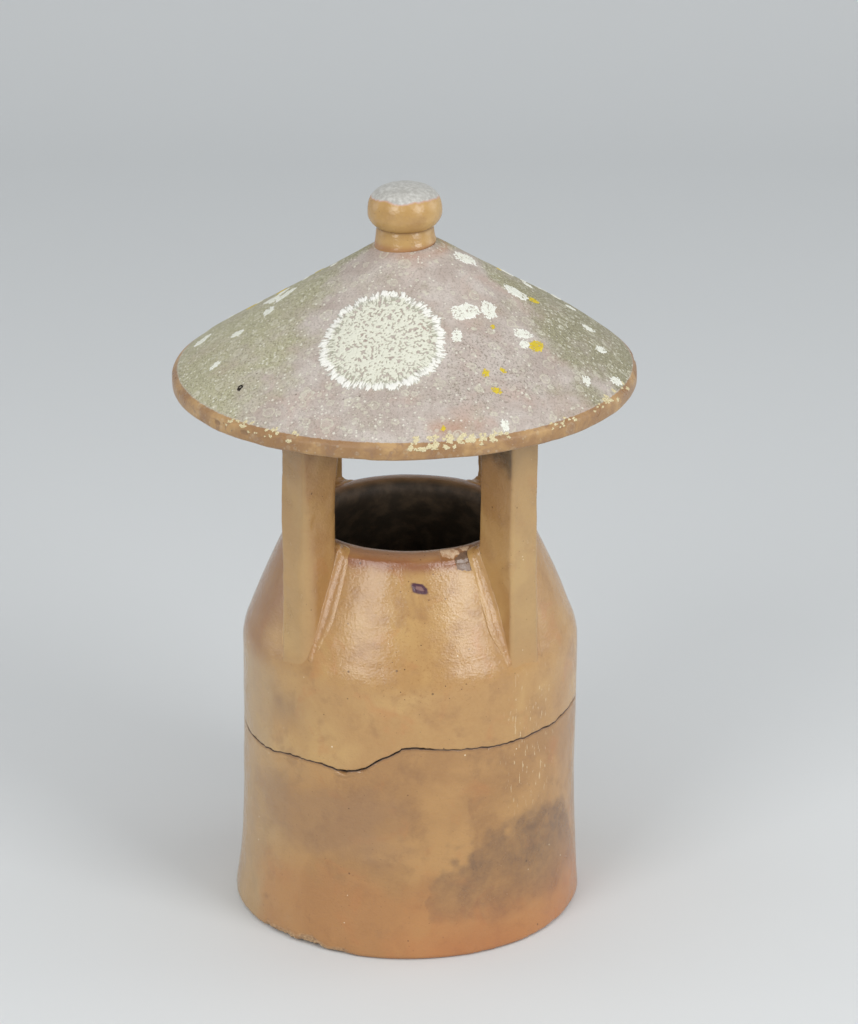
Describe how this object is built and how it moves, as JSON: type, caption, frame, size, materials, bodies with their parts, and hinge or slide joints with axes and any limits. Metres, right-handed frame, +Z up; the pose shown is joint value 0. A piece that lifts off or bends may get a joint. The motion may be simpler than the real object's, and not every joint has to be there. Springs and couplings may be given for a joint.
{
  "type": "chimney pot",
  "caption": "Salt-glazed clay chimney pot: flared barrel, tapering shoulder and open mouth under a fixed conical rain hood on posts, with a knob finial.",
  "frame": {"origin": "centre of the foot ring on its resting plane, on the flue axis", "axes": "+Z up the flue towards the knob, -Y towards the front (the side whose crack steps up), +X to the right seen from the front"},
  "size_m": [0.392, 0.392, 0.643],
  "materials": {
    "salt_glaze_lower": "gloss",
    "salt_glaze_upper": "gloss",
    "salt_glaze_post": "gloss",
    "luting_clay": "gloss",
    "weathered_hood": "matte",
    "salt_glaze_knob": "gloss"
  },
  "bodies": {
    "root": {"barrel_lower": "salt_glaze_lower", "barrel_upper": "salt_glaze_upper", "post_front_left": "salt_glaze_post", "post_front_right": "salt_glaze_post", "post_rear_left": "salt_glaze_post", "post_rear_right": "salt_glaze_post", "luting_front_left": "luting_clay", "luting_front_right": "luting_clay", "luting_rear_left": "luting_clay", "luting_rear_right": "luting_clay", "hood": "weathered_hood", "finial": "salt_glaze_knob"}
  },
  "joints": []
}
